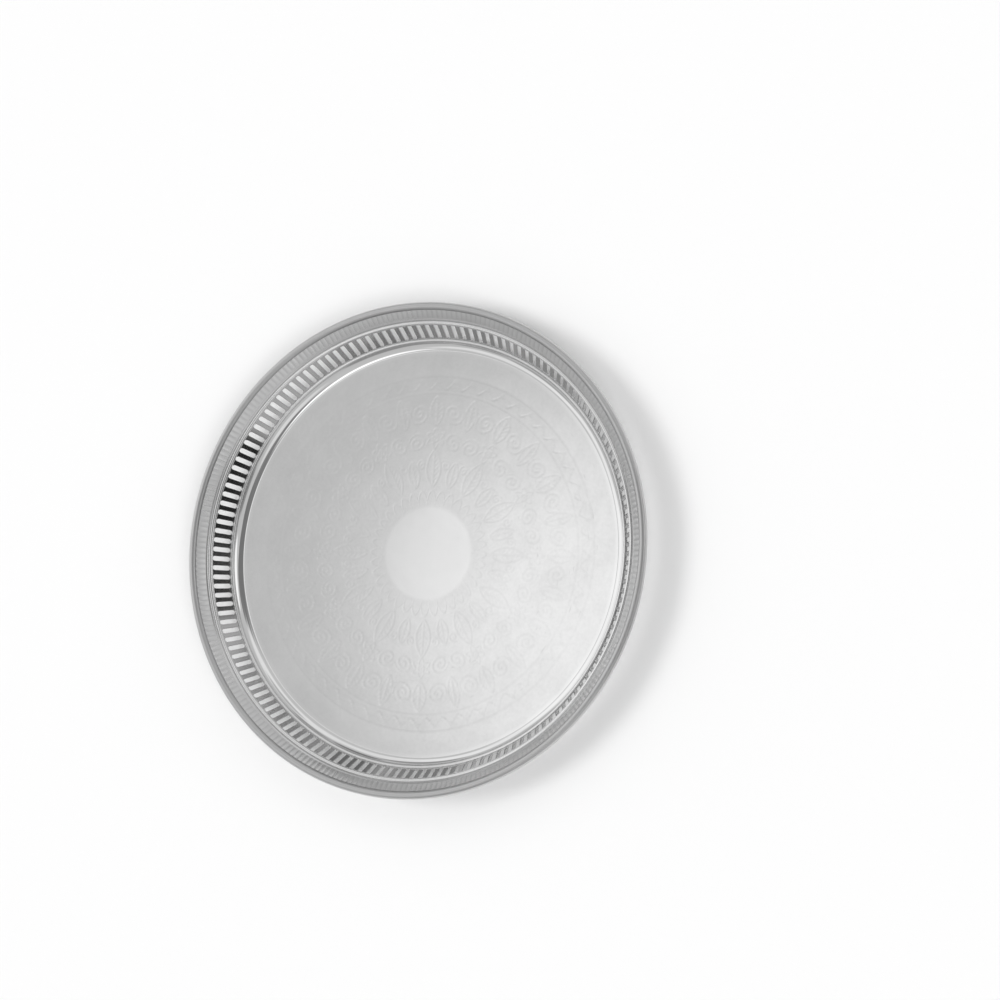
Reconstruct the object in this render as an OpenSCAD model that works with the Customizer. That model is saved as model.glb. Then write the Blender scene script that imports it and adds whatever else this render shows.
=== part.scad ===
// Round gallery tray in polished metal: a flat floor with a coved edge, a wall pierced
// with upright slots, two bead wires that cover the joints, and a sloping rim with a
// reeded border and a wired edge. Millimetres, +Z up. The origin is the centre of the
// face that the tray rests on.
//
// Every turned piece is a section in the plane of radius and height. A section is built
// from the named joints of the tray's inner face, which is the face that shows.

/* [Tray] */
// Diameter over the rolled edge
tray_d = 305; // [220:1:420]
// Lean of the gallery wall from upright, degrees
wall_lean = 36; // [20:1:50]
// Film of solder between two pieces that are joined
solder_t = 0.1; // [0.05:0.05:0.3]

/* [Floor] */
// Thickness of the floor sheet
floor_t = 1; // [0.6:0.1:2]
// Inside radius of the cove between floor and wall
cove_r = 7; // [3:0.5:14]

/* [Foot] */
// Height of the foot ring below the floor sheet
foot_h = 1.8; // [1:0.1:5]
// Width of the foot ring where it is soldered to the floor
foot_w = 3.2; // [2:0.1:8]
// Width of the flat that the foot ring stands on
foot_flat = 2; // [1:0.1:2]
// Distance from the edge of the flat floor to the outside of the foot ring
foot_inset = 3; // [0:0.5:30]

/* [Gallery] */
// Height of the gallery band, measured along its slope
band_l = 15; // [13.6:0.1:30]
// Thickness of the gallery band
band_t = 1; // [0.6:0.1:2]
// Length of a slot
slot_l = 11.9; // [5:0.1:12]
// Width of a slot
slot_w = 2.8; // [1:0.1:3.5]
// Distance between the middles of neighbouring slots
slot_pitch = 5.7; // [4.5:0.1:12]
// Plain edge of the band below the slots
slot_low = 1.5; // [1.3:0.1:1.7]

/* [Beads] */
// Width of the lower bead, a half-round wire between floor and gallery
lower_bead_w = 2.6; // [1.5:0.1:2.8]
// Width of the upper bead, a half-round wire between gallery and rim
upper_bead_w = 3; // [1.5:0.1:3.2]

/* [Rim] */
// Upward slope of the rim, degrees
rim_slope = 28; // [5:1:35]
// Thickness of the rim sheet
rim_t = 1; // [0.6:0.1:1.5]
// Width of the sloping rim from its inner bend to the middle of the roll
rim_l = 8.4; // [6:0.1:20]
// Inside radius of the bend between the rim and its turned-down lip
rim_bend_r = 1.2; // [0.5:0.1:3]
// Diameter of the stiffening wire inside the rolled edge
wire_d = 2.9; // [2:0.1:3.2]
// Play between the wire and the roll around it
wire_gap = 0.05; // [0.02:0.01:0.2]
// Height of the rim's face above the middle of the roll
roll_drop = 0.6; // [0:0.1:0.9]

/* [Reeded border] */
// Thickness of the border strip over its reeds
border_t = 0.9; // [0.4:0.1:2]
// Plain rim between the inner bend and the border strip
border_inset = 0.6; // [0.2:0.1:1]
// Plain rim between the border strip and the roll
border_gap = 0.7; // [0.3:0.1:1]

/* [Hidden] */
$fn = 96;

polished = "gainsboro";
bright = "whitesmoke";
shaded = "silver";

// A cut reaches this far past the faces that it goes through
cut_past = 1;

// Slope of the wall from level
wall_slope = 90 - wall_lean;

// Straight steps in the rounding of a bend
bend_steps = 12;

// Unit vectors in a section: along a slope, and square to it on the inner side
function along(slope) = [cos(slope), sin(slope)];
function inward(slope) = [-sin(slope), cos(slope)];

// Points along an arc of a section, from one angle to another
function arc(middle, radius, from, to) =
    [for (i = [0 : bend_steps]) middle + radius * along(from + (to - from) * i / bend_steps)];

// The lips that the bead wires sit on are as long as half a bead
floor_lip = lower_bead_w / 2;
rim_lip = upper_bead_w / 2;

// Distances along and square to the slopes, from the middle of the cove to the middle
// of the roll, add up to the place of every joint
hole_r = wire_d / 2 + wire_gap;
roll_r = hole_r + rim_t;
bend_out_r = rim_bend_r + rim_t;
wall_l = floor_lip + solder_t + band_l + solder_t + rim_lip;
cove_to_roll = -cove_r * inward(wall_slope) + wall_l * along(wall_slope)
    + bend_out_r * (inward(rim_slope) - inward(wall_slope))
    + rim_l * along(rim_slope) - roll_drop * inward(rim_slope);

// Named points of the section, from the floor out to the roll
floor_z = foot_h + floor_t;
roll_x = tray_d / 2 - roll_r;
cove_mid = [roll_x - cove_to_roll[0], floor_z + cove_r];
roll_mid = cove_mid + cove_to_roll;
floor_r = cove_mid[0];
lip_foot = cove_mid - cove_r * inward(wall_slope);
lower_joint = lip_foot + floor_lip * along(wall_slope);
band_foot = lower_joint + solder_t * along(wall_slope);
band_head = band_foot + band_l * along(wall_slope);
upper_joint = band_head + solder_t * along(wall_slope);
lip_head = upper_joint + rim_lip * along(wall_slope);
bend_mid = lip_head - bend_out_r * inward(wall_slope);
rim_start = bend_mid + bend_out_r * inward(rim_slope);
rim_end = rim_start + rim_l * along(rim_slope);
border_start = rim_start + border_inset * along(rim_slope) + solder_t * inward(rim_slope);

// The border strip fills the rim between its inner bend and the side of the roll
roll_half_w = sqrt(pow(roll_r, 2) - pow(roll_drop, 2));
border_w = rim_l - border_inset - border_gap - roll_half_w;

// As many slots as fit round the band at their pitch
slot_mid = band_foot + (slot_low + slot_l / 2) * along(wall_slope);
slot_count = floor(2 * PI * slot_mid[0] / slot_pitch);

// A straight run of sheet in a section: it starts at a point of the inner face and
// follows a slope, with its thickness on the outer side
module sheet_run(start, slope, length, thickness) {
    translate(start) rotate(slope) translate([0, -thickness]) square([length, thickness]);
}

// A half-round wire in a section, with its flat a film of solder away from the wall
module half_round(joint, width) {
    middle = joint + solder_t * inward(wall_slope);
    polygon(arc(middle, width / 2, wall_slope, wall_slope + 180));
}

// Floor sheet, with its edge coved up into a lip for the gallery
module base_plate() {
    under_face = arc(cove_mid, cove_r + floor_t, -90, wall_slope - 90);
    lip_end = [lower_joint - floor_t * inward(wall_slope), lower_joint];
    upper_face = arc(cove_mid, cove_r, wall_slope - 90, -90);
    color(polished) rotate_extrude()
        polygon(concat([[0, foot_h]], under_face, lip_end, upper_face, [[0, floor_z]]));
}

// Ring under the floor that the tray stands on
module foot_ring() {
    outer_r = floor_r - foot_inset;
    bevel = (foot_w - foot_flat) / 2;
    color(shaded) rotate_extrude()
        translate([outer_r - foot_w, 0])
            polygon([[bevel, 0], [foot_w - bevel, 0], [foot_w, foot_h], [0, foot_h]]);
}

// Outline of a slot: straight sides and round ends
module slot_outline() {
    straight = slot_l - slot_w;
    square([straight, slot_w], center = true);
    for (side = [-1, 1])
        translate([side * straight / 2, 0]) circle(d = slot_w);
}

// Conical band, pierced all round with upright slots
module gallery_band() {
    color(shaded) difference() {
        rotate_extrude() sheet_run(band_foot, wall_slope, band_l, band_t);
        for (i = [0 : slot_count - 1])
            rotate([0, 0, 360 * i / slot_count])
                translate([slot_mid[0], 0, slot_mid[1]])
                    rotate([0, -wall_slope, 0])
                        translate([0, 0, -band_t - cut_past])
                            linear_extrude(band_t + 2 * cut_past) slot_outline();
    }
}

// Half-round wire over the joint of floor and gallery
module lower_bead() {
    color(bright) rotate_extrude() half_round(lower_joint, lower_bead_w);
}

// Half-round wire over the joint of gallery and rim
module upper_bead() {
    color(bright) rotate_extrude() half_round(upper_joint, upper_bead_w);
}

// Sloping rim: a lip that butts on the gallery, a bend, the slope and the rolled edge
module rim_flange() {
    upper_face = arc(bend_mid, bend_out_r, 90 + wall_slope, 90 + rim_slope);
    outer_end = [rim_end, rim_end - rim_t * inward(rim_slope)];
    under_face = arc(bend_mid, rim_bend_r, 90 + rim_slope, 90 + wall_slope);
    lip_end = [upper_joint - rim_t * inward(wall_slope), upper_joint];
    color(polished) difference() {
        union() {
            rotate_extrude() polygon(concat(upper_face, outer_end, under_face, lip_end));
            rotate_extrude() translate(roll_mid) circle(r = roll_r);
        }
        rotate_extrude() translate(roll_mid) circle(r = hole_r);
    }
}

// Strip soldered on the rim, which carries the reeds
module reeded_border() {
    strip_top = border_start + border_t * inward(rim_slope);
    color(bright) rotate_extrude() sheet_run(strip_top, rim_slope, border_w, border_t);
}

// Stiffening wire inside the rolled edge
module edge_wire() {
    color("gray") rotate_extrude() translate(roll_mid) circle(d = wire_d);
}

base_plate();
foot_ring();
gallery_band();
lower_bead();
upper_bead();
rim_flange();
reeded_border();
edge_wire();
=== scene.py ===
# %% [markdown]
# # A round gallery tray in polished metal
# The tray is a flat polished floor inside a pierced wall, with a sloping rim around it. The packed
# model fixes the place and size of every piece. This lesson gives the pieces smooth turned surfaces and
# a finish, because polished metal shows every facet of a coarse mesh.

import bpy
import numpy as np
from mathutils import Matrix, Vector


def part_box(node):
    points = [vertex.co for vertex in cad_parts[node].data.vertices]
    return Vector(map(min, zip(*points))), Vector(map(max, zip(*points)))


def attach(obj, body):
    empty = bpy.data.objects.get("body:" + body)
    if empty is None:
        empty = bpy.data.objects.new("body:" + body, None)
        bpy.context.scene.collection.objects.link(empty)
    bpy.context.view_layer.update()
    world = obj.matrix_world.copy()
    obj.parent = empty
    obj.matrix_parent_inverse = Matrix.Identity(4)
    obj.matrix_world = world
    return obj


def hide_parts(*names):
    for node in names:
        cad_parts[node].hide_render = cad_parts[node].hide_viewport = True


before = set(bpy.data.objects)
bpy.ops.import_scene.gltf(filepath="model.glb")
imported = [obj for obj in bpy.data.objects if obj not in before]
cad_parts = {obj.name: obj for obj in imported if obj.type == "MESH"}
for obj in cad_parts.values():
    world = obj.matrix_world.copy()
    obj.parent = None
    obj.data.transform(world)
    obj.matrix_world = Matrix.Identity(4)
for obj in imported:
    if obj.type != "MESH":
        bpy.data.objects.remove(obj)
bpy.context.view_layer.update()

print("nodes:", sorted(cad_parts))

# %% [markdown]
# ## The section of the tray
# Almost every piece is turned, so it is a section in the plane of radius and height, carried round the
# axis. The walk below starts at the middle of the rolled edge, which the frame gives, and follows the
# inner face down to the floor. The thicknesses and slopes are those of the sheet and wire.

# %% Joints of the section
MM = 0.001
wall_slope = np.radians(54)
rim_slope = np.radians(28)
sheet_t = 1.0 * MM
solder_t = 0.1 * MM
cove_r = 7.0 * MM
band_l = 15.0 * MM
lower_bead_w = 2.6 * MM
upper_bead_w = 3.0 * MM
rim_bend_r = 1.2 * MM
rim_l = 8.4 * MM
roll_r = 2.5 * MM
roll_drop = 0.6 * MM


def along(slope):
    """Unit vector up a slope, in radius and height."""
    return np.array([np.cos(slope), np.sin(slope)])


def inward(slope):
    """Unit vector square to a slope, on the side of the tray's axis."""
    return np.array([-np.sin(slope), np.cos(slope)])


rim_low, rim_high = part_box("rim_flange")
base_low, base_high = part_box("base_plate")
tray_r = max(rim_high.x, rim_high.y)
roll_mid = np.array([tray_r - roll_r, rim_high.z - roll_r])
rim_end = roll_mid + roll_drop * inward(rim_slope)
rim_start = rim_end - rim_l * along(rim_slope)
bend_mid = rim_start - (rim_bend_r + sheet_t) * inward(rim_slope)
lip_head = bend_mid + (rim_bend_r + sheet_t) * inward(wall_slope)
upper_joint = lip_head - upper_bead_w / 2 * along(wall_slope)
band_head = upper_joint - solder_t * along(wall_slope)
band_foot = band_head - band_l * along(wall_slope)
lower_joint = band_foot - solder_t * along(wall_slope)
lip_foot = lower_joint - lower_bead_w / 2 * along(wall_slope)
cove_mid = lip_foot + cove_r * inward(wall_slope)
floor_r = cove_mid[0]
floor_z = cove_mid[1] - cove_r
print("floor radius and height, mm:", np.round([1000 * floor_r, 1000 * floor_z], 2))
print("floor height by the frame, mm:", round(1000 * (base_low.z + sheet_t), 2))

# %% [markdown]
# ## Outlines with their normals
# A mirror-bright surface shows the direction of its normals more than its shape. So each outline below
# carries its own exact normals: a straight run has one, and on an arc they point to or from the middle.
# An outline runs with the metal on its left, and then the normal is the run turned to the right.

# %% Straight runs, arcs and rounded outlines
def straight(start, end, steps=1):
    """Points at even shares of the way from start to end, with the run's own normal in every row."""
    share = np.linspace(0, 1, steps + 1)[:, None]
    run = (end - start) / np.linalg.norm(end - start)
    points = start + share * (end - start)
    normals = np.broadcast_to([run[1], -run[0]], points.shape)
    return np.hstack([points, normals])


def arc(middle, radius, start, end, steps):
    """Points at one radius from a middle, while the angle goes evenly from start to end.

    A left turn is a bulge, so its normals point away from the middle. A right turn is a hollow."""
    angle = np.linspace(start, end, steps + 1)
    ray = np.stack([np.cos(angle), np.sin(angle)], axis=1)
    side = 1 if end > start else -1
    return np.hstack([middle + radius * ray, side * ray])


def rounded_corner(before, corner, after, radius, steps):
    """Arc that is tangent to the two runs that meet at a corner.

    It starts at the tangent of half the turn, times the radius, before the corner."""
    run_in = (corner - before) / np.linalg.norm(corner - before)
    run_out = (after - corner) / np.linalg.norm(after - corner)
    turn = np.arctan2(run_in[0] * run_out[1] - run_in[1] * run_out[0], run_in @ run_out)
    start = corner - run_in * radius * np.tan(abs(turn) / 2)
    left = np.array([-run_in[1], run_in[0]])
    middle = start + np.sign(turn) * radius * left
    first = np.arctan2(start[1] - middle[1], start[0] - middle[0])
    return arc(middle, radius, first, first + turn, steps)


def rounded_loop(corners, radii, steps=6):
    """Closed outline through corners, each rounded by its own radius, in the order of a left turn."""
    count = len(corners)
    rows = [rounded_corner(corners[i - 1], corners[i], corners[(i + 1) % count], radii[i], steps)
            for i in range(count)]
    return np.vstack(rows)


# %% [markdown]
# ## From arrays to a mesh
# A turned piece is a grid: one direction goes round the tray, the other along the outline. Numpy makes
# all the points at once. Blender then gets the faces, the exact normals and, where a finish needs one,
# a value for each point.

# %% Mesh builders
def add_piece(name, points, faces, normals=None, values=None):
    """Makes a mesh object at the origin from points and faces, with normals and named point values."""
    mesh = bpy.data.meshes.new(name)
    mesh.from_pydata(points.tolist(), [], faces)
    mesh.polygons.foreach_set("use_smooth", np.ones(len(mesh.polygons), bool))
    for key, value in (values or {}).items():
        mesh.attributes.new(key, "FLOAT", "POINT").data.foreach_set("value", value.astype(np.float32))
    mesh.update()
    if normals is not None:
        mesh.normals_split_custom_set_from_vertices(normals.tolist())
    piece = bpy.data.objects.new(name, mesh)
    bpy.context.scene.collection.objects.link(piece)
    print(name, "has", len(mesh.polygons), "faces")
    return piece


def round_angles(turns):
    """Angles at even steps round the tray, without the last one, which is the first again."""
    return np.linspace(0, 2 * np.pi, turns, endpoint=False)


def carried_round(outline, turns):
    """Grids of points and normals: an outline's radius is turned to every angle, and its height stays."""
    angle = round_angles(turns)[:, None]
    r, z, nr, nz = outline.T
    flat = np.ones_like(angle)
    points = np.stack([r * np.cos(angle), r * np.sin(angle), z * flat], axis=2)
    normals = np.stack([nr * np.cos(angle), nr * np.sin(angle), nz * flat], axis=2)
    return points, normals


def grid_faces(turns, count, closed):
    """Four-sided faces between neighbouring angles and neighbouring outline points."""
    i = np.arange(turns)[:, None]
    j = np.arange(count if closed else count - 1)[None, :]
    i_next = (i + 1) % turns
    j_next = (j + 1) % count
    corners = [i * count + j, i_next * count + j, i_next * count + j_next, i * count + j_next]
    return np.stack(np.broadcast_arrays(*corners), axis=2).reshape(-1, 4)


def turned_ring(name, outline, turns=512, values=None):
    """Ring whose closed outline is carried once round the tray, with named values for its rows."""
    points, normals = carried_round(outline, turns)
    faces = grid_faces(turns, len(outline), closed=True).tolist()
    row_values = {key: np.tile(value, turns) for key, value in (values or {}).items()}
    return add_piece(name, points.reshape(-1, 3), faces, normals.reshape(-1, 3), row_values)


# %% [markdown]
# ## The camera
# The picture is taken from well above the tray, at 24 degrees from its axis, with a long lens. The far
# side of the tray lies to the left of the frame, so the camera is rolled. It is moved sideways, and not
# turned, to set the tray off the middle of the frame.

# %% Camera
view_lean = np.radians(24.2)
view_roll = np.radians(17.28)
view_distance = 3.0
pixels_per_mm = 1.631
frame_pixels = 1000
floor_pixel = np.array([428.1, 553.3])

to_camera = np.array([0, -np.sin(view_lean), np.cos(view_lean)])
across = np.array([1.0, 0, 0])
away = np.array([0, np.cos(view_lean), np.sin(view_lean)])
frame_right = np.sin(view_roll) * across - np.cos(view_roll) * away
frame_up = np.cos(view_roll) * across + np.sin(view_roll) * away
offset_mm = (frame_pixels / 2 - floor_pixel) * np.array([1, -1]) / pixels_per_mm
floor_middle = np.array([0, 0, floor_z])
camera_place = (floor_middle + view_distance * to_camera
                + MM * (offset_mm[0] * frame_right + offset_mm[1] * frame_up))

camera_data = bpy.data.cameras.new("camera")
camera_data.sensor_width = 36
camera_data.lens = camera_data.sensor_width * pixels_per_mm * view_distance / MM / frame_pixels
camera = bpy.data.objects.new("camera", camera_data)
bpy.context.scene.collection.objects.link(camera)
camera.matrix_world = Matrix((
    (frame_right[0], frame_up[0], to_camera[0], camera_place[0]),
    (frame_right[1], frame_up[1], to_camera[1], camera_place[1]),
    (frame_right[2], frame_up[2], to_camera[2], camera_place[2]),
    (0, 0, 0, 1)))
bpy.context.scene.camera = camera
print("lens, mm:", round(camera_data.lens, 1))

# %% [markdown]
# ## The floor of the tray and its chased ornament
# The floor is one disc of sheet. Around a plain round in the middle lies a wide band of shallow chased
# ornament: petals, mirrored leaf scrolls and a scalloped border. Such lines could be a bump texture, but
# here they are cut a few thousandths of a millimetre into the mesh, so that they exist from every side.
# The pattern is a distance to a few curves in polar coordinates, repeated round the tray by folding the
# angle.

# %% Ornament as a depth between 0 and 1
plain_round_r = 28.5 * MM
ornament_r = 110.0 * MM
field_low_r = 40.0 * MM
field_high_r = 98.0 * MM
cut_w = 0.8 * MM
cut_soft = 0.6 * MM
vein_w = 0.3 * MM
vein_pitch = 3.0 * MM
petal_count = 36
petal_low_r = 31.0 * MM
petal_rise = 7.5 * MM
petal_high_r = 39.5 * MM
scroll_sectors = 12
ring_gap = 1.5 * MM
scallop_count = 60
scallop_low_r = field_high_r + 2.0 * MM
scallop_r = 108.0 * MM
scallop_dip = 6.0 * MM
dot_r = 106.5 * MM
dot_w = 2.0 * MM


def cut(distance, width=cut_w):
    """1 on a line and 0 beside it, with a soft shoulder: a smooth step of the distance to the line."""
    share = np.clip((width / 2 + cut_soft - distance) / cut_soft, 0, 1)
    return share * share * (3 - 2 * share)


def scroll(x, y, middle_x, middle_y, radius, pitch, hand):
    """Spiral line: the distance from its middle grows by one pitch a turn, and it fades at a radius."""
    dx, dy = x - middle_x, y - middle_y
    reach = np.hypot(dx, dy)
    turns = reach / pitch - hand * np.arctan2(dy, dx) / (2 * np.pi)
    distance = np.abs(turns - np.round(turns)) * pitch
    return cut(distance) * np.clip((radius - reach) / cut_soft, 0, 1)


def leaf(x, y, start, end, half_w):
    """Outline, midrib and veins of a leaf on the fold: its half width is a sine arch between its ends."""
    share = np.clip((y - start) / (end - start), 0, 1)
    edge = half_w * np.sin(np.pi * share) ** 0.8
    vein = (y - 0.9 * x) / vein_pitch
    vein_line = np.where(x < edge, 0.6 * cut(np.abs(vein - np.round(vein)) * vein_pitch, vein_w), 0)
    lines = np.max([cut(np.abs(x - edge)), 0.8 * cut(x), vein_line], axis=0)
    return np.where((y > start) & (y < end), lines, 0)


def rosette(x, y, middle_y, radius, petals):
    """Flower on the fold: its edge is a circle that swells and shrinks once for each petal."""
    dy = y - middle_y
    reach = np.hypot(x, dy)
    edge = radius * (0.78 + 0.22 * np.cos(petals * np.arctan2(x, dy)))
    return np.max([cut(np.abs(reach - edge)), cut(np.abs(reach - 0.3 * radius)), cut(reach)], axis=0)


def leaf_field(radius, angle):
    """Leaves, flowers and scrolls, mirrored by folding each sector: x is the way across, y the radius."""
    sector = 2 * np.pi / scroll_sectors
    folded = np.abs((angle % sector) - sector / 2)
    x, y = radius * folded, radius
    far_x = radius * (sector / 2 - folded)
    shapes = [
        leaf(x, y, 41 * MM, 64 * MM, 4.6 * MM),
        leaf(far_x, y, 41.5 * MM, 58 * MM, 3.4 * MM),
        scroll(x, y, 8.0 * MM, 55 * MM, 3.6 * MM, 2.8 * MM, 1),
        rosette(x, y, 71 * MM, 6.0 * MM, 6),
        scroll(x, y, 12.4 * MM, 69 * MM, 6.2 * MM, 3.2 * MM, -1),
        leaf(x, y, 79 * MM, 97.5 * MM, 4.2 * MM),
        scroll(x, y, 11.6 * MM, 87 * MM, 7.0 * MM, 3.4 * MM, 1),
        leaf(far_x, y, 78 * MM, 97.5 * MM, 3.6 * MM),
    ]
    return np.where((radius > field_low_r) & (radius < field_high_r), np.max(shapes, axis=0), 0)


def ornament(radius, angle):
    """Depth of the chased lines at a polar place: the deepest of rings, petals, leaves and scallops."""
    rings = [cut(np.abs(radius - r)) for r in (field_high_r + ring_gap, ornament_r)]
    petal_edge = petal_low_r + petal_rise * np.abs(np.sin(petal_count / 2 * angle)) ** 0.6
    petals = np.where(radius < petal_high_r, cut(np.abs(radius - petal_edge)), 0)
    scallop_edge = scallop_r - scallop_dip * np.abs(np.cos(scallop_count / 2 * angle))
    scallops = np.where(radius > scallop_low_r, cut(np.abs(radius - scallop_edge)), 0)
    dot_step = 2 * np.pi / scallop_count
    dot_x = radius * (angle % dot_step - dot_step / 2)
    dots = cut(np.hypot(dot_x, radius - dot_r), dot_w)
    return np.max([*rings, petals, leaf_field(radius, angle), scallops, dots], axis=0)


# %% Floor sheet
cut_depth = 0.003 * MM
floor_turns = 720
chased_r = ornament_r + 1.0 * MM
chased_rings = 103
slope_step = 0.25 * MM
edge_round = 0.2 * MM
under_z = floor_z - sheet_t
lip_out = lower_joint - sheet_t * inward(wall_slope)


def floor_outline():
    """Open outline from the axis out along the under side, round the lip and back over the top.

    The cove is one arc inside and a wider one outside, about the same middle."""
    under = straight(np.array([0, under_z]), np.array([floor_r, under_z]), 3)
    cove_out = arc(cove_mid, cove_r + sheet_t, -np.pi / 2, wall_slope - np.pi / 2, 7)
    lip_low = rounded_corner(lip_foot - sheet_t * inward(wall_slope), lip_out, lower_joint, edge_round, 3)
    lip_high = rounded_corner(lip_out, lower_joint, lip_foot, edge_round, 3)
    cove_in = arc(cove_mid, cove_r, wall_slope - np.pi / 2, -np.pi / 2, 10)
    return np.vstack([under[:-1], cove_out, lip_low, lip_high, cove_in])


def floor_rings():
    """Radii of the rings of the top, from the cove inwards: dense where the ornament is."""
    plain = np.linspace(floor_r, chased_r, 3)[1:]
    chased = np.linspace(chased_r, plain_round_r, chased_rings + 1)[1:]
    middle = np.linspace(plain_round_r, 0, 4)[1:]
    return np.concatenate([plain, chased, middle])


def make_floor():
    """Disc with a chased top: below each point of the top, the ornament's depth is taken off the height.

    The normal leans against the slope of the depth, which is measured across a small step each way."""
    sides = floor_outline()
    radii = floor_rings()
    top = np.stack([radii, np.full_like(radii, floor_z), np.zeros_like(radii), np.ones_like(radii)], axis=1)
    points, normals = carried_round(np.vstack([sides, top]), floor_turns)
    angle = np.broadcast_to(round_angles(floor_turns)[:, None], points.shape[:2])
    radius = np.hypot(points[..., 0], points[..., 1])
    on_top = np.arange(points.shape[1]) >= len(sides)
    depth = np.where(on_top, ornament(radius, angle), 0)
    turn = slope_step / np.maximum(radius, slope_step)
    rise_r = ornament(radius + slope_step, angle) - ornament(radius - slope_step, angle)
    rise_a = ornament(radius, angle + turn) - ornament(radius, angle - turn)
    lean_r = np.where(on_top, cut_depth * rise_r / (2 * slope_step), 0)
    lean_a = np.where(on_top, cut_depth * rise_a / (2 * slope_step), 0)
    points[..., 2] -= cut_depth * depth
    normals[..., 0] += lean_r * np.cos(angle) - lean_a * np.sin(angle)
    normals[..., 1] += lean_r * np.sin(angle) + lean_a * np.cos(angle)
    normals /= np.linalg.norm(normals, axis=2, keepdims=True)
    return closed_at_axis("tray_floor", points, normals, depth)


def closed_at_axis(name, points, normals, depth):
    """Grid whose first and last columns lie on the axis: each of them becomes one point and a fan."""
    turns, count = points.shape[:2]
    inner = slice(1, count - 1)
    ring_points = points[:, inner].reshape(-1, 3)
    ring_normals = normals[:, inner].reshape(-1, 3)
    low, high = turns * (count - 2), turns * (count - 2) + 1
    all_points = np.vstack([ring_points, points[0, 0], points[0, -1]])
    all_normals = np.vstack([ring_normals, [0, 0, -1], [0, 0, 1]])
    values = np.concatenate([depth[:, inner].ravel(), [0, 0]])
    i = np.arange(turns)
    i_next = (i + 1) % turns
    fan_low = np.stack([np.full(turns, low), i_next * (count - 2), i * (count - 2)], axis=1)
    last = count - 3
    fan_high = np.stack([np.full(turns, high), i * (count - 2) + last, i_next * (count - 2) + last], axis=1)
    faces = grid_faces(turns, count - 2, closed=False).tolist() + fan_low.tolist() + fan_high.tolist()
    return add_piece(name, all_points, faces, all_normals, {"chasing": values})


tray_floor = make_floor()

# %% [markdown]
# ## The foot ring
# A low ring under the floor carries the tray. It is a narrow strip with its lower edges taken off, so
# only a small flat touches the table.

# %% Foot ring
foot_low, foot_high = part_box("foot_ring")
foot_out_r = max(foot_high.x, foot_high.y)
foot_w = 3.2 * MM
foot_flat = 2.0 * MM
foot_bevel = (foot_w - foot_flat) / 2
foot_rounds = [0.3 * MM, 0.3 * MM, 0.1 * MM, 0.1 * MM]
foot_corners = np.array([
    [foot_out_r - foot_w + foot_bevel, foot_low.z],
    [foot_out_r - foot_bevel, foot_low.z],
    [foot_out_r, foot_high.z],
    [foot_out_r - foot_w, foot_high.z]])
foot_ring = turned_ring("foot_wire", rounded_loop(foot_corners, foot_rounds))

# %% [markdown]
# ## The pierced gallery
# The wall is a conical band with upright slots. A boolean would leave long thin faces that spoil the
# reflections. Instead one cell with one slot is a small grid: one direction goes round the slot, the
# other crosses the sheet from the cell's edge over the rounded lip of the slot to the back. Copies of
# the cell, each turned by one step, are welded along their edges.

# %% Gallery band
slot_count = 150
slot_l = 11.9 * MM
slot_w = 2.8 * MM
slot_low = 1.5 * MM
slot_lip = 0.22 * MM
end_steps = 6
lip_steps = 1
weld_step = 0.0001 * MM


def slot_path():
    """Way round a slot: for each point its place on the slot, its outward direction and a cell point.

    The two round ends are half circles. Their outer thirds face the cell's sides, the middle its ends.
    Across is a share of the cell's half width on the cell points, and a length on the slot."""
    straight_half = (slot_l - slot_w) / 2
    middle = slot_low + slot_l / 2
    angle = np.linspace(0, np.pi, end_steps + 1)
    out = np.stack([np.cos(angle), np.sin(angle)], axis=1)
    slot_top = out * slot_w / 2 + [0, straight_half + middle]
    side = end_steps // 4
    rise = np.linspace(middle + straight_half, band_l, side + 1)
    flat = np.linspace(1, -1, end_steps - 2 * side + 1)
    cell_top = np.concatenate([
        np.stack([np.ones(side), rise[:-1]], axis=1),
        np.stack([flat, np.full_like(flat, band_l)], axis=1),
        np.stack([-np.ones(side), rise[::-1][1:]], axis=1)])
    turn = np.array([-1, -1])
    low_end = 2 * middle
    slot_bottom = slot_top * turn + [0, low_end]
    drop = np.linspace(middle - straight_half, 0, side + 1)
    cell_bottom = np.concatenate([
        np.stack([-np.ones(side), drop[:-1]], axis=1),
        np.stack([-flat, np.zeros_like(flat)], axis=1),
        np.stack([np.ones(side), drop[::-1][1:]], axis=1)])
    return (np.vstack([slot_top, slot_bottom]), np.vstack([out, out * turn]),
            np.vstack([cell_top, cell_bottom]))


def lip_profile():
    """Crossing of the sheet at a slot: outset from the slot's edge, depth, and the normal's two shares.

    A quarter circle rounds the front edge and another the back edge."""
    quarter = np.linspace(0, np.pi / 2, lip_steps + 1)
    front = np.stack([slot_lip * (1 - np.sin(quarter)), slot_lip * (1 - np.cos(quarter)),
                      np.sin(quarter), np.cos(quarter)], axis=1)
    back = front[::-1] * [1, -1, 1, -1] + [0, sheet_t, 0, 0]
    return np.vstack([front, back])


def on_band(across, up, depth):
    """Point of the band: up its slope, across it along the round, and under its face by a depth."""
    place = band_foot + up[..., None] * along(wall_slope)
    angle = across / place[..., 0]
    place = place - depth[..., None] * inward(wall_slope)
    return np.stack([place[..., 0] * np.cos(angle), place[..., 0] * np.sin(angle), place[..., 1]], axis=-1)


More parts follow.
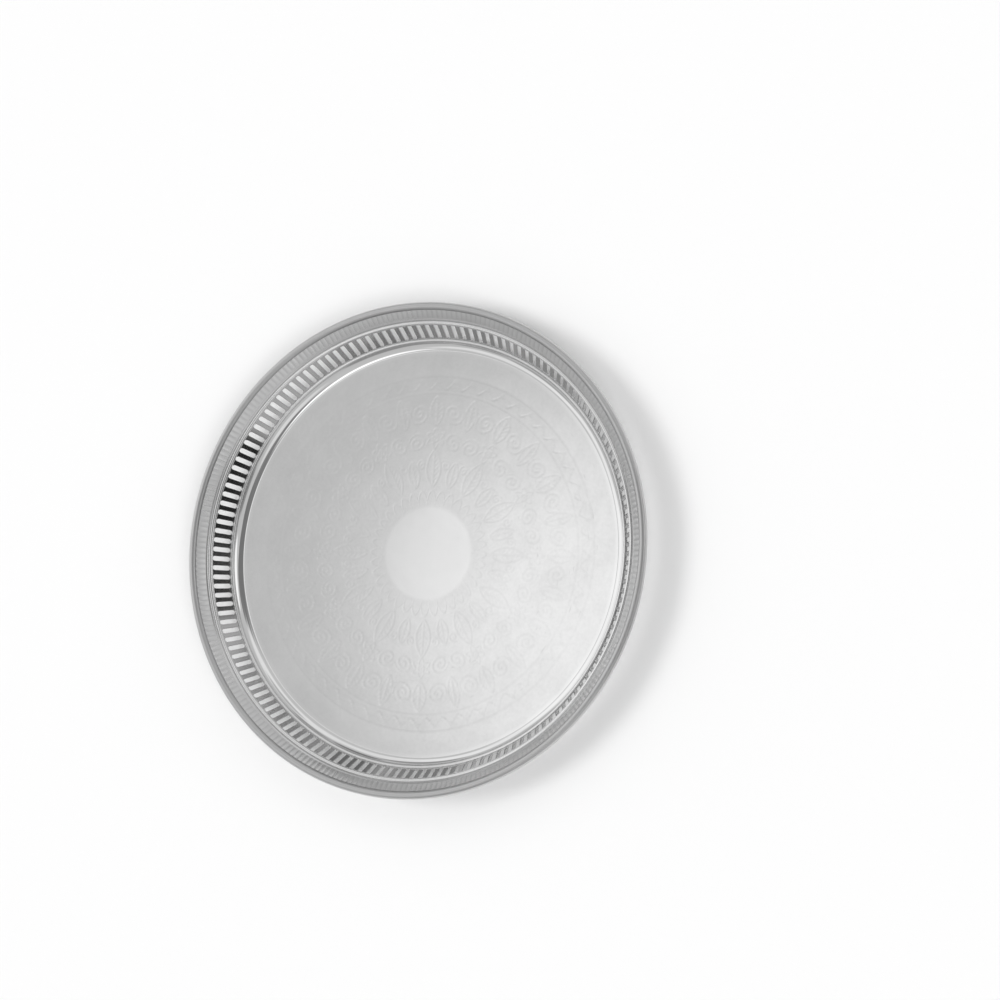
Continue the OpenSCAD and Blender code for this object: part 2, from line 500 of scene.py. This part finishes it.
def band_directions(across, up):
    """Unit vectors of the band at a place: along the round, up the slope, and out of the inner face."""
    angle = across / (band_foot[0] + up * np.cos(wall_slope))
    zero = np.zeros_like(angle)
    round_way = np.stack([-np.sin(angle), np.cos(angle), zero], axis=-1)
    up_way = np.stack([np.cos(angle) * np.cos(wall_slope), np.sin(angle) * np.cos(wall_slope),
                       zero + np.sin(wall_slope)], axis=-1)
    face_way = np.stack([-np.cos(angle) * np.sin(wall_slope), -np.sin(angle) * np.sin(wall_slope),
                         zero + np.cos(wall_slope)], axis=-1)
    return round_way, up_way, face_way


def slot_cell():
    """Points, normals and faces of one cell of the band, centred on angle 0."""
    slot, out, cell = slot_path()
    profile = lip_profile()
    half_angle = np.pi / slot_count
    cell_r = band_foot[0] + cell[:, 1] * np.cos(wall_slope)
    cell_across = cell[:, 0] * half_angle * cell_r
    outset, depth, side_share, face_share = profile.T
    across = np.hstack([cell_across[:, None], slot[:, :1] + out[:, :1] * outset, cell_across[:, None]])
    up = np.hstack([cell[:, 1:], slot[:, 1:] + out[:, 1:] * outset, cell[:, 1:]])
    depth = np.broadcast_to(np.concatenate([[0], depth, [sheet_t]]), up.shape)
    side_share = np.concatenate([[0], side_share, [0]])
    face_share = np.concatenate([[1], face_share, [-1]])
    points = on_band(across, up, depth)
    round_way, up_way, face_way = band_directions(across, up)
    to_slot = -(out[:, None, :1] * round_way + out[:, None, 1:] * up_way)
    normals = side_share[:, None] * to_slot + face_share[:, None] * face_way
    rows, columns = up.shape
    faces = grid_faces(rows, columns, closed=False)[:, ::-1]
    front, back = np.arange(rows) * columns, np.arange(rows) * columns + columns - 1
    on_edge = [(i, (i + 1) % rows) for i in range(rows)
               if cell[i, 1] == cell[(i + 1) % rows, 1] and cell[i, 1] in (0, band_l)]
    rim = np.array([[front[i], front[k], back[k], back[i]] for i, k in on_edge])
    return points.reshape(-1, 3), normals.reshape(-1, 3), np.vstack([faces, rim])


def welded(points, normals, faces):
    """The same mesh with points that share a place made one, by rounding places to a tenth of a micron."""
    key = np.round(points / weld_step).astype(np.int64)
    _, first, same = np.unique(key, axis=0, return_index=True, return_inverse=True)
    return points[first], normals[first], same.reshape(-1)[faces]


def make_gallery():
    """Every cell of the band at once: the one cell turned by each of its steps, then welded."""
    points, normals, faces = slot_cell()
    angle = round_angles(slot_count)
    zero, one = np.zeros_like(angle), np.ones_like(angle)
    turn = np.stack([np.stack([np.cos(angle), np.sin(angle), zero], axis=1),
                     np.stack([-np.sin(angle), np.cos(angle), zero], axis=1),
                     np.stack([zero, zero, one], axis=1)], axis=1)
    all_points = (points @ turn).reshape(-1, 3)
    all_normals = (normals @ turn).reshape(-1, 3)
    all_faces = (faces[None] + len(points) * np.arange(slot_count)[:, None, None]).reshape(-1, 4)
    all_points, all_normals, all_faces = welded(all_points, all_normals, all_faces)
    return add_piece("pierced_gallery", all_points, all_faces.tolist(), all_normals)


pierced_gallery = make_gallery()

# %% [markdown]
# ## The bead wires
# A half-round wire covers the joint between floor and wall, and a wider one the joint between wall and
# rim. The bulge catches a thin bright line all the way round.

# %% Bead wires
def bead_loop(joint, width):
    """Half circle on the inner side of a joint, closed by a flat that lies a film of solder off it."""
    middle = joint + solder_t * inward(wall_slope)
    bulge = arc(middle, width / 2, wall_slope, wall_slope + np.pi, 20)
    flat = straight(bulge[-1, :2], bulge[0, :2], 3)[1:-1]
    return np.vstack([bulge, flat])


lower_bead = turned_ring("lower_bead_wire", bead_loop(lower_joint, lower_bead_w))
upper_bead = turned_ring("upper_bead_wire", bead_loop(upper_joint, upper_bead_w))

# %% [markdown]
# ## The rim and its rolled edge
# The rim starts with a lip that butts on the gallery, bends outwards, slopes up and ends in a roll. Where
# the slope runs into the roll, a small hollow joins the two. That hollow touches the slope's face and
# the roll, so its middle lies one hollow radius off the face and that much beyond the roll's radius.

# %% Rim
roll_fillet = 0.9 * MM
roll_margin = 0.02 * MM


def roll_hollow(side):
    """Middle of the hollow beside the roll, above the rim's face (side 1) or below its back (side -1)."""
    off_axis = roll_drop + roll_fillet if side > 0 else roll_drop - sheet_t - roll_fillet
    reach = np.sqrt((roll_r + roll_fillet) ** 2 - off_axis ** 2)
    return roll_mid - reach * along(rim_slope) + off_axis * inward(rim_slope)


def rim_loop():
    """Closed outline of the rim, run with the metal on its left: under side, roll, face and lip."""
    quarter = np.pi / 2
    above, below = roll_hollow(1), roll_hollow(-1)
    to_above = np.arctan2(*(above - roll_mid)[::-1])
    to_below = np.arctan2(*(below - roll_mid)[::-1])
    if to_below > 0:
        to_below -= 2 * np.pi
    if to_above < 0:
        to_above += 2 * np.pi
    lip_in, lip_back = upper_joint, upper_joint - sheet_t * inward(wall_slope)
    back_head = bend_mid + rim_bend_r * inward(wall_slope)
    lip_corner_in = rounded_corner(lip_head, lip_in, lip_back, edge_round, 3)
    lip_corner_out = rounded_corner(lip_in, lip_back, back_head, edge_round, 3)
    bend_back = arc(bend_mid, rim_bend_r, quarter + wall_slope, quarter + rim_slope, 8)
    hollow_low = arc(below, roll_fillet, quarter + rim_slope, to_below + np.pi, 5)
    roll = arc(roll_mid, roll_r, to_below, to_above, 40)
    hollow_high = arc(above, roll_fillet, to_above - np.pi, rim_slope - quarter, 5)
    bend_front = arc(bend_mid, rim_bend_r + sheet_t, quarter + rim_slope, quarter + wall_slope, 8)
    return np.vstack([lip_corner_in, lip_corner_out, bend_back, hollow_low, roll[1:-1],
                      hollow_high, bend_front])


rim_outline = rim_loop()
off_roll = np.linalg.norm(rim_outline[:, :2] - roll_mid, axis=1)
on_roll = np.where(off_roll < roll_r + roll_margin, 1.0, 0.0)
# On the roll this share dulls the metal as wear and darkens its colour as painted shade.
rim = turned_ring("sloping_rim", rim_outline, values={"roll_wear_and_shade": on_roll})

# %% [markdown]
# ## The reeded border
# On the rim lies a strip with fine reeds across it. It swells gently from its inner edge and ends a hair
# short of the roll, so that only a fine seam shows there. Each reed is a shallow half round. The height
# over the rim is the strip's section times the reed, so the whole border is a single grid with a flat back.

# %% Reeded border
border_inset = 0.6 * MM
border_gap = 0.7 * MM
border_low = 0.35 * MM
border_swell = 0.9 * MM
swell_power = 1.5
under_step = 0.6 * MM
seam_gap = 0.03 * MM
reed_count = 276
reed_steps = 6
groove_share = 0.8
end_shown = 0.4
end_low = solder_t + (border_low + border_swell) * (1 - (1 - groove_share) * end_shown)
border_reach = rim_l - border_inset - np.sqrt((roll_r + seam_gap) ** 2 - (roll_drop + end_low) ** 2)
border_w = rim_l - border_inset - border_gap - np.sqrt(roll_r ** 2 - roll_drop ** 2)
border_start = rim_start + border_inset * along(rim_slope) + solder_t * inward(rim_slope)


def border_section():
    """Rows of the strip: way across, height of its section, and how much of the reed each row shows.

    The top starts at a low edge and swells with a power of the way that is left to the outer edge."""
    share = np.array([0.02, 0.08, 0.25, 0.5, 0.75, 0.93, 1.0])
    top = border_low + border_swell * (1 - (1 - share) ** swell_power)
    shown = np.array([0.2, 0.8, 1.0, 1.0, 1.0, 0.9, end_shown])
    rows = np.stack([share * border_reach, top, shown], axis=1)
    foot_in, foot_out = [0, 0, 0], [border_w, 0, 0]
    under = [border_w + under_step, under_step, 0]
    return np.vstack([foot_in, rows, under, foot_out]).T


def make_border():
    """Strip whose height is its section, lowered towards each groove by a shallow half round."""
    turns = reed_count * reed_steps
    angle = round_angles(turns)
    place = (np.arange(turns) % reed_steps) / reed_steps * 2 - 1
    groove = 1 - np.sqrt(1 - place ** 2)
    way, section, shown = border_section()
    height = section[None, :] * (1 - (1 - groove_share) * groove[:, None] * shown[None, :])
    line = border_start + way[:, None] * along(rim_slope)
    r = line[:, 0] - height * np.sin(rim_slope)
    z = line[:, 1] + height * np.cos(rim_slope)
    points = np.stack([r * np.cos(angle)[:, None], r * np.sin(angle)[:, None], z], axis=2)
    faces = grid_faces(turns, len(way), closed=True)[:, ::-1]
    # The depth into each groove also darkens the colour there: painted shade in the grooves.
    dark = groove[:, None] * shown[None, :]
    values = {"groove": dark.ravel()}
    piece = add_piece("reeded_strip", points.reshape(-1, 3), faces.tolist(), values=values)
    piece.data.set_sharp_from_angle(angle=np.radians(50))
    return piece


reeded_strip = make_border()

# %% [markdown]
# ## Finishes
# Everything is bright plated metal, so the finishes differ in small things. All have a faint circular
# grain from the polishing wheel, a cloudy change of gloss and a few hairline scratches. The floor is duller
# in its chased lines and on the matted ground between them. The border's grooves are darkened a little as
# painted shade. The roll is worn a little duller than the slope beside it, and its colour is darkened as
# painted shade. The patterns read object coordinates, so that they stay on the metal.

# %% Node helpers
def new_finish(name):
    """An empty node material with a metal shader; returns the material, its nodes and the shader."""
    material = bpy.data.materials.new(name)
    material.use_nodes = True
    nodes = material.node_tree.nodes
    shader = nodes["Principled BSDF"]
    shader.inputs["Metallic"].default_value = 1.0
    return material, nodes, shader


def wire_up(tree, source, target):
    """Links an output socket to an input socket."""
    tree.links.new(source, target)


def math_node(tree, operation, first, second=None):
    """Math node with two inputs, each a number or a socket; returns its output."""
    node = tree.nodes.new("ShaderNodeMath")
    node.operation = operation
    for socket, value in zip(node.inputs, (first, second)):
        if isinstance(value, bpy.types.NodeSocket):
            wire_up(tree, value, socket)
        elif value is not None:
            socket.default_value = value
    return node.outputs[0]


def stretched(tree, value, low, high, to_low, to_high):
    """Maps a value from one range smoothly and with clamping to another; returns its output."""
    node = tree.nodes.new("ShaderNodeMapRange")
    node.interpolation_type = "SMOOTHSTEP"
    wire_up(tree, value, node.inputs["Value"])
    for key, number in zip(("From Min", "From Max", "To Min", "To Max"), (low, high, to_low, to_high)):
        node.inputs[key].default_value = number
    return node.outputs[0]


def noise(tree, vector, scale, detail=3.0, roughness=0.5):
    """Noise value of a vector at a scale; returns its output."""
    node = tree.nodes.new("ShaderNodeTexNoise")
    node.inputs["Scale"].default_value = scale
    node.inputs["Detail"].default_value = detail
    node.inputs["Roughness"].default_value = roughness
    wire_up(tree, vector, node.inputs["Vector"])
    return node.outputs["Fac"]


def polar_vector(tree):
    """Object coordinates as radius, angle and height, so that a pattern can run round the tray."""
    place = tree.nodes.new("ShaderNodeTexCoord").outputs["Object"]
    split = tree.nodes.new("ShaderNodeSeparateXYZ")
    wire_up(tree, place, split.inputs[0])
    x, y, z = split.outputs
    radius = math_node(tree, "SQRT", math_node(tree, "ADD", math_node(tree, "MULTIPLY", x, x),
                                               math_node(tree, "MULTIPLY", y, y)))
    angle = math_node(tree, "ARCTAN2", y, x)
    return place, radius, angle, z


def combined(tree, *values):
    """Vector of three numbers or sockets."""
    node = tree.nodes.new("ShaderNodeCombineXYZ")
    for socket, value in zip(node.inputs, values):
        if isinstance(value, bpy.types.NodeSocket):
            wire_up(tree, value, socket)
        else:
            socket.default_value = value
    return node.outputs[0]


# %% Polished metal
matt_start = (plain_round_r - 1.5 * MM, plain_round_r + 2.0 * MM)
matt_end = (floor_r - 3.0 * MM, floor_r)
noise_middle = (0.35, 0.65)
grain_scales = (2600.0, 6.0, 2600.0)
scratch_scales = (900.0, 9.0, 0.0)
scratch_rough = 0.06
tarnish = (0.05, 0.05, 0.052)
bump_depth = 0.01 * MM


def matted_ground(tree, place, radius):
    """Share of fine matting: 1 round the plain middle and 0 on it and on the cove, broken up by grains."""
    inner = stretched(tree, radius, *matt_start, 0.0, 1.0)
    outer = stretched(tree, radius, *matt_end, 1.0, 0.0)
    grains = stretched(tree, noise(tree, place, 420.0, 2.0, 0.6), *noise_middle, 0.75, 1.0)
    patches = stretched(tree, noise(tree, place, 130.0, 2.0, 0.5), *noise_middle, 0.8, 1.0)
    band = math_node(tree, "MULTIPLY", inner, outer)
    return math_node(tree, "MULTIPLY", band, math_node(tree, "MULTIPLY", grains, patches))


def round_noise(tree, polar, scales, detail):
    """Noise drawn out along the round: radius, angle and height are each multiplied by a scale first."""
    scaled = [math_node(tree, "MULTIPLY", value, scale) for value, scale in zip(polar, scales)]
    return noise(tree, combined(tree, *scaled), 1.0, detail)


def point_value(tree, name, amount):
    """A named point value of the mesh, times an amount."""
    value = tree.nodes.new("ShaderNodeAttribute")
    value.attribute_name = name
    return math_node(tree, "MULTIPLY", value.outputs["Fac"], amount)


def lessened(tree, shade, loss):
    """What is left of a shade after a loss, as a product of the two shares."""
    return math_node(tree, "MULTIPLY", shade, math_node(tree, "SUBTRACT", 1.0, loss))


def polished_metal(name, colour, gloss_low, gloss_high, grain=0.12,
                   extra_rough=None, dark=None, matting=None):
    """Plated metal: circular grain as bump, clouds and scratches in the roughness, and optional extras.

    extra_rough and dark name a point value that dulls or darkens the metal, with the amount to apply.
    matting gives how much the matted ground dulls and darkens it."""
    material, nodes, shader = new_finish(name)
    tree = material.node_tree
    place, *polar = polar_vector(tree)
    grain_value = round_noise(tree, polar, grain_scales, 2.0)
    cloud = noise(tree, place, 22.0, 4.0, 0.55)
    rough = stretched(tree, cloud, 0.3, 0.7, gloss_low, gloss_high)
    scratch = stretched(tree, round_noise(tree, polar, scratch_scales, 1.0), 0.70, 0.78, 0.0, scratch_rough)
    rough = math_node(tree, "ADD", rough, scratch)
    if extra_rough:
        rough = math_node(tree, "ADD", rough, point_value(tree, *extra_rough))
    shade = stretched(tree, noise(tree, place, 60.0, 5.0), 0.25, 0.75, 0.965, 1.0)
    if matting:
        matt = matted_ground(tree, place, polar[0])
        rough = math_node(tree, "ADD", rough, math_node(tree, "MULTIPLY", matt, matting[0]))
        shade = lessened(tree, shade, math_node(tree, "MULTIPLY", matt, matting[1]))
    wire_up(tree, rough, shader.inputs["Roughness"])
    if dark:
        shade = lessened(tree, shade, point_value(tree, *dark))
    # Of a colour mix, inputs 6 and 7 are the two colours and output 2 is the result
    tint = nodes.new("ShaderNodeMix")
    tint.data_type = "RGBA"
    tint.inputs[6].default_value = (*tarnish, 1)
    tint.inputs[7].default_value = (*colour, 1)
    wire_up(tree, shade, tint.inputs[0])
    wire_up(tree, tint.outputs[2], shader.inputs["Base Color"])
    bump = nodes.new("ShaderNodeBump")
    bump.inputs["Strength"].default_value = grain
    bump.inputs["Distance"].default_value = bump_depth
    wire_up(tree, grain_value, bump.inputs["Height"])
    wire_up(tree, bump.outputs["Normal"], shader.inputs["Normal"])
    return material


floor_finish = polished_metal("polished_floor", (0.84, 0.84, 0.84), 0.05, 0.08, 0.10,
                              extra_rough=("chasing", 0.015), dark=("chasing", 0.006),
                              matting=(0.02, 0.085))
sheet_finish = polished_metal("polished_sheet", (0.66, 0.66, 0.66), 0.08, 0.15)
# The roll's darker colour is painted shade; its extra roughness is wear.
rim_finish = polished_metal("polished_rim", (0.66, 0.66, 0.66), 0.16, 0.24,
                            extra_rough=("roll_wear_and_shade", 0.16), dark=("roll_wear_and_shade", 0.12))
wire_finish = polished_metal("plated_wire", (0.82, 0.82, 0.82), 0.14, 0.22)
# The darker colour in the reed grooves is painted shade.
reed_finish = polished_metal("reeded_plate", (0.73, 0.73, 0.73), 0.24, 0.32, dark=("groove", 0.14))
drawn_finish = polished_metal("drawn_wire", (0.45, 0.45, 0.46), 0.25, 0.35, 0.3)

# %% [markdown]
# ## Putting the pieces on the frame
# Every piece rides on the frame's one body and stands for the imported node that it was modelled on. The
# stiffening wire is closed inside the roll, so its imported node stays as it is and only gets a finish.

# %% Ride, replace and dress
dressed = [
    (tray_floor, "base_plate", "polished_floor", floor_finish),
    (foot_ring, "foot_ring", "plated_wire", wire_finish),
    (pierced_gallery, "gallery_band", "polished_sheet", sheet_finish),
    (lower_bead, "lower_bead", "plated_wire", wire_finish),
    (upper_bead, "upper_bead", "plated_wire", wire_finish),
    (rim, "rim_flange", "polished_sheet", rim_finish),
    (reeded_strip, "reeded_border", "reeded_strip", reed_finish),
]
for piece, node, slot, finish in dressed:
    piece.data.materials.append(finish)
    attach(piece, "root")
    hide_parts(node)
edge_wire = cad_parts["edge_wire"]
edge_wire.data.materials.clear()
edge_wire.data.materials.append(drawn_finish)
print("pieces that stand for packed nodes:", len(dressed))

# %% [markdown]
# ## Table and studio
# The tray stands on a plain white table. A white table under plain light would come out grey beside
# bright metal, so its material adds a little light of its own to what the camera and the reflections
# see, and still takes the tray's shadow. Polished metal has no look of its own: it shows the
# room. The room is a soft grey dome with a wide light overhead, and dark and pale zones like the flags
# and reflectors that a photographer sets round such a piece. Two soft lamps light the table from
# opposite sides, and the metal doesn't show them.

# %% Table
table_half = 4.0
table_own_light = 0.02
table_mesh = bpy.data.meshes.new("table")
table_mesh.from_pydata([(-table_half, -table_half, 0), (table_half, -table_half, 0),
                        (table_half, table_half, 0), (-table_half, table_half, 0)], [], [(0, 1, 2, 3)])
table = bpy.data.objects.new("table", table_mesh)
bpy.context.scene.collection.objects.link(table)


def seen_rays(tree):
    """1 for rays that come from the camera, from a reflection or through glass, and 0 for other rays."""
    rays = tree.nodes.new("ShaderNodeLightPath").outputs
    seen = math_node(tree, "MAXIMUM", rays["Is Camera Ray"], rays["Is Glossy Ray"])
    return math_node(tree, "MAXIMUM", seen, rays["Is Transmission Ray"])


table_finish = bpy.data.materials.new("white_table")
table_finish.use_nodes = True
table_tree = table_finish.node_tree
table_tree.nodes.clear()
table_base = table_tree.nodes.new("ShaderNodeBsdfDiffuse")
table_base.inputs["Color"].default_value = (0.9, 0.9, 0.9, 1)
table_glow = table_tree.nodes.new("ShaderNodeEmission")
wire_up(table_tree, math_node(table_tree, "MULTIPLY", seen_rays(table_tree), table_own_light),
        table_glow.inputs["Strength"])
table_sum = table_tree.nodes.new("ShaderNodeAddShader")
wire_up(table_tree, table_base.outputs[0], table_sum.inputs[0])
wire_up(table_tree, table_glow.outputs[0], table_sum.inputs[1])
table_out = table_tree.nodes.new("ShaderNodeOutputMaterial")
wire_up(table_tree, table_sum.outputs[0], table_out.inputs["Surface"])
table.data.materials.append(table_finish)

# %% Studio dome
studio = bpy.data.worlds.new("studio")
studio.use_nodes = True
bpy.context.scene.world = studio
studio_tree = studio.node_tree
studio_tree.nodes.clear()
ray = studio_tree.nodes.new("ShaderNodeTexCoord").outputs["Generated"]
ray_split = studio_tree.nodes.new("ShaderNodeSeparateXYZ")
wire_up(studio_tree, ray, ray_split.inputs[0])
ray_height = ray_split.outputs[2]
horizon_tone = 0.55
zenith_tone = 0.60
dome = stretched(studio_tree, ray_height, 0.0, 0.9, horizon_tone, zenith_tone)

# Each zone: the x and y of the direction to its middle, the degrees of its core and edge, and its tone
ceiling_gap = [(0.0, 0.10, 8, 14, 0.2), (0.0, -0.12, 13, 20, 0.2), (-0.18, -0.06, 8, 16, 0.22),
               (0.2, -0.14, 8, 14, 0.2), (0.38, -0.36, 7, 12, 0.22), (0.0, -0.36, 7, 10, 0.2),
               (0.22, -0.34, 7, 10, 0.2), (-0.22, -0.3, 7, 11, 0.25)]
front_gap = [(-0.05, -0.93, 7, 11, 0.3)]
window = [(0.70, 0.0, 16, 24, 0.86), (0.455, -0.77, 11, 15, 1.1), (-0.42, -0.52, 12, 18, 0.8)]
overhead_light = [(-0.018, 0.385, 0.0, 3.5, 1.1), (-0.26, 0.17, 5, 12, 1.4)]
back_light = [(0.0, 0.80, 14, 22, 1.1), (0.0, 0.64, 7, 11.5, 1.05),
              (-0.45, 0.62, 12, 20, 0.94), (0.45, 0.62, 12, 20, 0.94),
              (-0.55, 0.42, 8, 14, 0.86), (0.55, 0.42, 8, 14, 0.84),
              (0.0, 0.97, 12, 20, 0.95)]
side_flags = [(-0.66, 0.63, 7, 12, 0.42), (0.66, 0.63, 7, 12, 0.34),
              (-0.89, 0.38, 6, 10, 0.36), (0.89, 0.38, 6, 10, 0.2),
              (-0.97, 0.1, 6, 10, 0.35), (0.97, 0.1, 6, 10, 0.35),
              (-0.97, -0.18, 12, 18, 0.3), (0.79, -0.04, 6, 11, 0.5)]
studio_zones = ceiling_gap + front_gap + window + overhead_light + back_light + side_flags


def near_share(direction, core, edge):
    """1 within core degrees of a direction and 0 beyond edge degrees, by the cosine of the angle to it."""
    dot = studio_tree.nodes.new("ShaderNodeVectorMath")
    dot.operation = "DOT_PRODUCT"
    wire_up(studio_tree, ray, dot.inputs[0])
    dot.inputs[1].default_value = direction
    cosines = np.cos(np.radians([edge, core]))
    return stretched(studio_tree, dot.outputs["Value"], *cosines, 0.0, 1.0)


def blended(below, share, tone):
    """Lays a tone over the dome below it by a share, which is a socket."""
    blend = studio_tree.nodes.new("ShaderNodeMix")
    wire_up(studio_tree, share, blend.inputs[0])
    wire_up(studio_tree, below, blend.inputs[2])
    blend.inputs[3].default_value = tone
    return blend.outputs[0]


def add_zone(below, x, y, core, edge, tone):
    """Lays a tone over a soft round zone, whose middle is a unit vector with the given x and y."""
    direction = (x, y, np.sqrt(1 - x * x - y * y))
    return blended(below, near_share(direction, core, edge), tone)


def add_belt(below, turn, half, soft, low_z, high_z, tone):
    """Lays a tone over a low belt of the dome: degrees from its middle bound it sideways, and z above."""
    direction = (np.sin(np.radians(turn)), -np.cos(np.radians(turn)), 0)
    sideways = near_share(direction, half, half + soft)
    upwards = stretched(studio_tree, ray_height, low_z, high_z, 1.0, 0.0)
    return blended(below, math_node(studio_tree, "MULTIPLY", sideways, upwards), tone)


for zone in studio_zones:
    dome = add_zone(dome, *zone)
dome = add_belt(dome, turn=11, half=31, soft=8, low_z=0.2, high_z=0.28, tone=0.02)
studio_rays = studio_tree.nodes.new("ShaderNodeLightPath").outputs
background_mix = studio_tree.nodes.new("ShaderNodeMix")
wire_up(studio_tree, studio_rays["Is Camera Ray"], background_mix.inputs[0])
wire_up(studio_tree, dome, background_mix.inputs[2])
background_mix.inputs[3].default_value = 1.0
background = studio_tree.nodes.new("ShaderNodeBackground")
wire_up(studio_tree, background_mix.outputs[0], background.inputs["Color"])
studio_out = studio_tree.nodes.new("ShaderNodeOutputWorld")
wire_up(studio_tree, background.outputs[0], studio_out.inputs["Surface"])
bpy.context.scene.view_settings.view_transform = "Standard"


def add_lamp(name, turn, rise, energy, spread):
    """Soft distant lamp: turn is its angle from +Y towards +X, rise its height, both in degrees."""
    turn, rise = np.radians([turn, rise])
    to_lamp = Vector((np.sin(turn) * np.cos(rise), np.cos(turn) * np.cos(rise), np.sin(rise)))
    lamp_data = bpy.data.lights.new(name, "SUN")
    lamp_data.energy = energy
    lamp_data.angle = np.radians(spread)
    lamp = bpy.data.objects.new(name, lamp_data)
    lamp.matrix_world = to_lamp.to_track_quat("Z", "Y").to_matrix().to_4x4()
    lamp.visible_glossy = False
    bpy.context.scene.collection.objects.link(lamp)


add_lamp("key", turn=-16, rise=55, energy=0.86, spread=24)
add_lamp("fill", turn=196, rise=56, energy=0.84, spread=28)
print("studio zones:", len(studio_zones))
